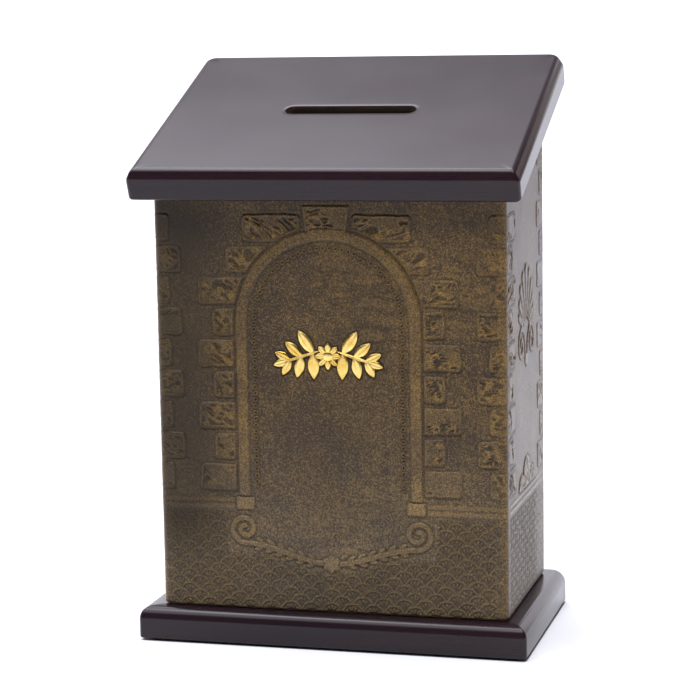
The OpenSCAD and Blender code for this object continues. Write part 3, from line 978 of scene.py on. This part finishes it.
def worn_corners(relief):
    """The cover is rubbed lighter where it turns a corner."""
    turn = np.abs(relief.u)
    near = 0.0
    for at in (CORNER_MIDDLE, REAR_MIDDLE):
        near = near + np.exp(-(((turn - at) / 3.4) ** 4))
        rubbed = eased((3.2 - np.abs(turn - at)) / 3.2)
        patchy = 0.6 + 0.4 * lattice_noise(relief.u, relief.v, 6.0, 17)
        relief.at_least(wear=0.66 * rubbed * patchy)
    foot = eased((1.6 - (relief.v + BOARD_TOP - COVER_FOOT)) / 1.6)
    relief.at_least(wear=0.4 * foot)
    # the relief runs out where the leather is drawn round a corner
    relief.height = relief.height * (1 - 0.85 * np.clip(near, 0, 1))


def plan_outline(u):
    """(x, y, normal x, normal y) along the case's plan outline, in millimetres."""
    sign = np.sign(u)
    d = np.abs(u)
    first = np.clip((d - FLAT_FRONT) / ARC, 0, 1) * math.pi / 2
    second = np.clip((d - REAR_CORNER) / ARC, 0, 1) * math.pi / 2
    side_run = np.clip(d - FLAT_FRONT - ARC, 0, FLAT_SIDE)
    back_run = np.clip(d - REAR_CORNER - ARC, 0, None)
    turn = first + second
    x = np.minimum(d, FLAT_FRONT) + CORNER_R * np.sin(first) - CORNER_R * (1 - np.cos(second)) - back_run
    y = -HALF_D + CORNER_R * (1 - np.cos(first)) + side_run + CORNER_R * np.sin(second)
    return sign * x, y, sign * np.sin(turn), -np.cos(turn)


def under_lid(y):
    """Height of the lid's underside over a place in plan, in millimetres."""
    return (LID_EDGE.z / MM) + (y - LID_EDGE.y / MM) * math.tan(LID_TILT)


def leather_strips(name, low_u, high_u, pitch, relief_of, bands):
    """A stretch of the cover as closed sheets, one above the other, with their relief in the mesh."""
    columns = int(math.ceil((high_u - low_u) / pitch)) + 1
    u = np.linspace(low_u, high_u, columns)
    x, y, nx, ny = plan_outline(u)
    top = under_lid(y) - LID_GAP
    rows = int(math.ceil((top.max() - COVER_FOOT) / pitch)) + 1
    share = np.linspace(0, 1, rows)
    z = COVER_FOOT + (top - COVER_FOOT)[:, None] * share[None, :]
    grid_u = np.repeat(u[:, None], rows, axis=1)
    relief = relief_of(grid_u, z - BOARD_TOP)
    worn_corners(relief)
    foot_r = 1.1
    rise = np.clip(foot_r - (z - COVER_FOOT), 0, foot_r)
    offset = relief.height - (foot_r - np.sqrt(foot_r ** 2 - rise ** 2))
    offset = offset + 0.10 * (lattice_noise(grid_u, z, 9.0, 5) - 0.5)
    place = np.stack([x[:, None] + nx[:, None] * offset, y[:, None] + ny[:, None] * offset, z], axis=-1) * MM
    normal = np.cross(np.gradient(place, axis=0), np.gradient(place, axis=1))
    normal = normal / np.linalg.norm(normal, axis=-1, keepdims=True)
    inner = np.stack([x - nx * (COVER_THICK - 0.05), y - ny * (COVER_THICK - 0.05)], axis=-1) * MM
    edges = np.linspace(0, rows - 1, bands + 1).astype(int)
    for band, (start, end) in enumerate(zip(edges[:-1], edges[1:])):
        closed_sheet(
            f"{name}_{band + 1}" if bands > 1 else name,
            place[:, start:end + 1], normal[:, start:end + 1], inner,
            {k: getattr(relief, k)[:, start:end + 1] for k in LAYERS[1:]},
        )


def closed_sheet(name, place, normal, inner, shares):
    """One closed piece of leather: a fine outer grid, and a plain back and edges."""
    columns, rows = place.shape[:2]
    count = columns * rows
    index = np.arange(count).reshape(columns, rows)
    quads = np.stack([index[:-1, :-1], index[1:, :-1], index[1:, 1:], index[:-1, 1:]], axis=-1).reshape(-1, 4)
    foot, head = place[:, 0], place[:, -1]
    left, right = place[0], place[-1]
    back_foot = np.column_stack([inner, foot[:, 2]])
    back_head = np.column_stack([inner, head[:, 2]])
    vertices = np.concatenate([place.reshape(-1, 3), foot, head, left, right, back_foot, back_head])
    at = np.cumsum([count, columns, columns, rows, rows, columns])
    foot_i, head_i, left_i, right_i, back_foot_i, back_head_i = at
    faces = [tuple(q) for q in quads.tolist()]
    for k in range(columns - 1):
        faces.append((foot_i + k, back_foot_i + k, back_foot_i + k + 1, foot_i + k + 1))
        faces.append((head_i + k, head_i + k + 1, back_head_i + k + 1, back_head_i + k))
        faces.append((back_foot_i + k + 1, back_foot_i + k, back_head_i + k, back_head_i + k + 1))
    faces.append(tuple([left_i + k for k in range(rows)] + [back_head_i, back_foot_i]))
    faces.append(tuple(
        [right_i + k for k in reversed(range(rows))] + [back_foot_i + columns - 1, back_head_i + columns - 1]
    ))
    mesh = mesh_of(name, vertices.tolist(), faces)
    new_piece(name, mesh, LEATHER, "case", "leather_wrap")
    for key, values in shares.items():
        full = np.zeros(len(vertices), np.float32)
        full[:count] = values.reshape(-1)
        mesh.attributes.new(key, "FLOAT", "POINT").data.foreach_set("value", full)
    mesh.shade_smooth()
    normals = np.zeros((len(vertices), 3))
    normals[:count] = normal.reshape(-1, 3)
    mesh.normals_split_custom_set_from_vertices([tuple(n) for n in normals.tolist()])


FINE = 0.30
SIDE_FINE = 0.42
leather_strips("leather_front", -CORNER_MIDDLE, CORNER_MIDDLE, FINE, front_relief, 3)
leather_strips("leather_right", CORNER_MIDDLE, OUTLINE_END, SIDE_FINE, side_relief, 1)
leather_strips("leather_left", -OUTLINE_END, -CORNER_MIDDLE, SIDE_FINE, side_relief, 1)


# ---------------------------------------------------------------- gilt ornament

def on_front(u, v, proud):
    """A point of the ornament, from its middle and proud of the leather, given in millimetres."""
    return u * MM, -(HALF_D + proud) * MM, (EMBLEM_MIDDLE + v) * MM


def gilt_leaf(u, v, turn, length, width, proud):
    """(vertices, faces) of one domed leaf with a sharp midrib, lying on the front."""
    along, across = 14, 8
    cos, sin = cos_sin(turn)
    radius = leaf_radius(length, width)
    vertices, faces = [], []
    for layer in (0, 1):
        for i in range(along + 1):
            p = length * (0.5 - 0.5 * math.cos(math.pi * i / along))
            half = max(math.sqrt(max(radius ** 2 - (p - length / 2) ** 2, 0)) - (radius - width / 2), 0.02)
            for j in range(across + 1):
                t = -1 + 2 * j / across
                dome = math.sqrt(max(1 - t * t, 0.0)) ** 0.8
                crease = 0.16 * max(0.0, 1 - abs(t) / 0.35)
                full = min(1.0, half / (width / 2) + 0.25)
                depth = 0.12 + (proud - 0.12) * dome * full - crease if layer else -0.3
                q = half * t
                vertices.append(on_front(u + p * cos - q * sin, v + p * sin + q * cos, depth))
    wide = across + 1
    shift = (along + 1) * wide
    for i in range(along):
        for j in range(across):
            a, b, c, d = i * wide + j, (i + 1) * wide + j, (i + 1) * wide + j + 1, i * wide + j + 1
            faces.append((a + shift, b + shift, c + shift, d + shift))
            faces.append((d, c, b, a))
    border = (
        [i * wide for i in range(along + 1)]
        + [along * wide + j for j in range(1, wide)]
        + [i * wide + across for i in reversed(range(along))]
        + list(reversed(range(1, across)))
    )
    for a, b in zip(border, border[1:] + border[:1]):
        faces.append((a, b, b + shift, a + shift))
    return vertices, faces


def emblem():
    vertices, faces = [], []
    for leaf in emblem_leaves():
        more, more_faces = gilt_leaf(*leaf, 0.55)
        faces += [tuple(i + len(vertices) for i in face) for face in more_faces]
        vertices += more
    # a domed boss in the middle of the rosette
    steps, rings_count = 32, 6
    for layer in range(rings_count + 1):
        share = layer / rings_count
        ring_r = 1.9 * math.cos(share * math.pi / 2 * 0.98)
        proud = 0.25 + 0.55 * math.sin(share * math.pi / 2)
        for k in range(steps):
            angle = 2 * math.pi * k / steps
            vertices.append(on_front(ring_r * math.cos(angle), ring_r * math.sin(angle), proud))
    start = len(vertices) - (rings_count + 1) * steps
    for layer in range(rings_count):
        for k in range(steps):
            n = (k + 1) % steps
            a, b = start + layer * steps + k, start + layer * steps + n
            faces.append((a, b, b + steps, a + steps))
    faces.append(tuple(start + rings_count * steps + k for k in range(steps)))
    faces.append(tuple(start + k for k in reversed(range(steps))))
    mesh = mesh_of("front_emblem_gilt", vertices, faces)
    new_piece("front_emblem_gilt", mesh, GILT, "case", "front_emblem")
    mesh.shade_smooth()
    mesh.set_sharp_from_angle(angle=math.radians(50))


emblem()


# ---------------------------------------------------------------- plain covers on the back

def middle_and_half(low, high):
    """Middle and half size of a box seen from the back: middle X and Z, half X and Z."""
    return (low.x + high.x) / 2, (low.z + high.z) / 2, (high.x - low.x) / 2, (high.z - low.z) / 2


def plate_with_hole(name, low, high, hole, outer_y, inner_y, body, node):
    """A flat cover standing in the XZ plane, its edges turned in, with a tooled line and a hole in it."""
    mid_x, mid_z, half_x, half_z = middle_and_half(low, high)
    hole_x, hole_z, hole_half_x, hole_half_z, hole_r = hole
    turn = 0.6 * MM
    thick = outer_y - inner_y
    quarter = np.linspace(0, math.pi / 2, 6)
    outer = [(0, 0)] + [(turn * (1 - math.cos(t)), thick - turn + turn * math.sin(t)) for t in quarter]
    line = [(3.2, 0), (3.5, -0.18), (3.8, -0.18), (4.1, 0), (4.6, 0), (4.9, -0.18), (5.2, -0.18), (5.5, 0)]
    outer += [(inset * MM, thick + depth * MM) for inset, depth in line]
    rings = []
    for inset, proud in outer:
        ring = rectangle_ring(half_x - inset, half_z - inset, 0.5 * MM, PER_CORNER)
        rings.append([Vector((mid_x - x, inner_y + proud, mid_z + z)) for x, z in ring])
    lip = [(turn * (1 - math.sin(t)), thick - turn + turn * math.cos(t)) for t in quarter]
    for out, proud in [(turn, thick)] + lip + [(0, 0)]:
        ring = rectangle_ring(hole_half_x + out, hole_half_z + out, hole_r + out, PER_CORNER)
        rings.append([Vector((hole_x - x, inner_y + proud, hole_z + z)) for x, z in ring])
    smooth_shaded(ring_piece(name, rings, True, LEATHER, body, node))


DOORWAY_GAP = 1.2 * MM
BARREL_HOLE_R = 7.6 * MM
door_x, door_z, door_half_x, door_half_z = middle_and_half(DOOR_LOW, DOOR_HIGH)
plate_with_hole(
    "leather_back_tooled", BACK_LOW, BACK_HIGH,
    (door_x, door_z, door_half_x + DOORWAY_GAP, door_half_z + DOORWAY_GAP, 0.6 * MM),
    BACK_HIGH.y, BACK_LOW.y, "case", "leather_back",
)
plate_with_hole(
    "door_cover_tooled", DOOR_LOW, DOOR_HIGH,
    middle_and_half(BARREL_LOW, BARREL_HIGH)[:2] + (BARREL_HOLE_R,) * 3,
    DOOR_HIGH.y, DOOR_LOW.y, "door", "door_cover",
)


# ---------------------------------------------------------------- CAD nodes that stay, and finished copies

def dress(node, material):
    """Gives a CAD node that stays in place its material."""
    slots = frame["nodes"][node].data.materials
    slots.clear()
    slots.append(material)


def finished(node, body, material, arris):
    """A copy of a CAD node with its arrises softened, as a made part has them."""
    work = bmesh.new()
    work.from_mesh(frame["nodes"][node].data)
    bmesh.ops.remove_doubles(work, verts=work.verts, dist=0.001 * MM)
    bmesh.ops.dissolve_limit(work, angle_limit=math.radians(1.0), verts=work.verts, edges=work.edges)
    sharp = [e for e in work.edges if len(e.link_faces) == 2 and e.calc_face_angle(0) > math.radians(40)]
    bmesh.ops.bevel(
        work, geom=sharp, offset=arris * MM, segments=2, profile=0.5, affect="EDGES", clamp_overlap=True
    )
    mesh = bpy.data.meshes.new(node + "_finished")
    work.to_mesh(mesh)
    work.free()
    smooth_shaded(new_piece(mesh.name, mesh, material, body, node))


for material, nodes in (
    (BOARD, ("front_panel", "side_panel_left", "side_panel_right", "back_panel", "door_panel")),
    (PINE_Z, ("corner_blocks",)),
    (PINE_STOPS, ("door_stops",)),
    (PINE_Y, ("lid_cleat_left", "lid_cleat_right")),
    (ZINC, ("base_screws", "lid_screws", "cam_screw")),
    (BRASS, ("hinge_screws_fixed", "hinge_screws_door", "hinge_pin_upper", "hinge_pin_lower")),
    (FELT, ("base_felt",)),
):
    for node in nodes:
        dress(node, material)
for place in ("upper", "lower"):
    finished(f"hinge_leaf_fixed_{place}", "case", BRASS, 0.18)
    finished(f"hinge_leaf_door_{place}", "door", BRASS, 0.18)
finished("lock_barrel", "door", NICKEL, 0.3)
finished("lock_nut", "door", ZINC, 0.25)
finished("lock_plug", "plug", NICKEL, 0.15)
finished("lock_cam", "plug", ZINC, 0.2)
finished("key", "key", KEY_PLATE, 0.2)


# ---------------------------------------------------------------- stage, light and camera

def floor():
    pale = Graph("pale_floor").surface(
        Base_Color=(0.59, 0.60, 0.63, 1.0), Roughness=0.9, Specular_IOR_Level=0.1
    )
    reach = 60.0
    mesh = bpy.data.meshes.new("floor")
    corners = [(-reach, -reach, 0), (reach, -reach, 0), (reach, reach, 0), (-reach, reach, 0)]
    mesh.from_pydata(corners, [], [(0, 1, 2, 3)])
    mesh.materials.append(pale)
    plane = placed("floor", mesh)


def world():
    """A soft studio: bright behind and above, dimmer in front."""
    scene = bpy.context.scene
    scene.world = bpy.data.worlds.new("studio")
    scene.world.use_nodes = True
    w = Wiring(scene.world.node_tree)
    towards = w.axes(w.node("TexCoord").outputs["Generated"])
    behind = w.spread(towards["Y"], -0.35, 0.55, 0.10, 1.65)
    aside = w.spread(towards["X"], 0.30, 0.50, 1.0, 0.18)
    low = w.spread(towards["Z"], 0.28, 0.62, 1.0, 0.25)
    tilted = w.math("SUBTRACT", towards["Z"], w.spread(towards["X"], -1.0, 1.0, -0.2, 0.2))
    overhead = w.spread(tilted, 0.76, 0.88, 0.0, 3.4)
    rear_light = w.spread(towards["Y"], 0.20, 0.55, 0.9, 2.1)
    above = w.math("MULTIPLY", overhead, rear_light)
    around = w.math("MULTIPLY", w.math("MULTIPLY", behind, aside), low)
    cool, warm = (0.98, 0.955, 1.045, 1.0), (1.12, 0.92, 0.84, 1.0)
    tint = w.mix(w.spread(towards["X"], 0.30, 0.50), cool, warm)
    background = w.node("Background", Strength=w.math("ADD", around, above), Color=tint)
    w.node("OutputWorld", Surface=background.outputs["Background"])


def sun(name, azimuth, elevation, strength, width, mirrored=True):
    """A soft light from far off. azimuth 0 is in front, and positive is towards +X. mirrored says
    whether it shows in reflections."""
    data = bpy.data.lights.new(name, "SUN")
    data.energy = strength
    data.angle = math.radians(width)
    lamp = placed(name, data)
    lamp.visible_glossy = mirrored
    a, e = math.radians(azimuth), math.radians(elevation)
    towards = Vector((math.sin(a) * math.cos(e), -math.cos(a) * math.cos(e), math.sin(e)))
    lamp.rotation_euler = towards.to_track_quat("Z", "Y").to_euler()


# the camera: angles in degrees, distance and target in metres, lens in millimetres
CAMERA_YAW = 14.94
CAMERA_PITCH = 8.51
CAMERA_ROLL = -0.944
CAMERA_DISTANCE = 0.8783
CAMERA_TARGET = Vector((-0.00198, 0.0, 0.10697))
CAMERA_LENS = 116.96


def camera():
    """The camera at the photograph's angle: yaw to the right, looking slightly down, with a long lens."""
    yaw, pitch, roll = (math.radians(a) for a in (CAMERA_YAW, CAMERA_PITCH, CAMERA_ROLL))
    forward = Vector((-math.sin(yaw) * math.cos(pitch), math.cos(yaw) * math.cos(pitch), -math.sin(pitch)))
    right = Vector((math.cos(yaw), math.sin(yaw), 0.0))
    up = right.cross(forward)
    side = math.cos(roll) * right + math.sin(roll) * up
    top = -math.sin(roll) * right + math.cos(roll) * up
    data = bpy.data.cameras.new("camera")
    data.lens = CAMERA_LENS
    data.sensor_width = 36.0
    eye = placed("camera", data)
    where = CAMERA_TARGET - forward * CAMERA_DISTANCE
    eye.matrix_world = Matrix((
        (side.x, top.x, -forward.x, where.x),
        (side.y, top.y, -forward.y, where.y),
        (side.z, top.z, -forward.z, where.z),
        (0.0, 0.0, 0.0, 1.0),
    ))
    bpy.context.scene.camera = eye


floor()
world()
# the key would make the lid look like brushed metal from above, so reflections show only the weak suns
sun("key", 10, 62, 2.7, 18, mirrored=False)
sun("glint", 10, 62, 0.5, 18)
sun("strip", -72, 75, 0.6, 20)
camera()
bpy.context.scene.view_settings.view_transform = "Standard"
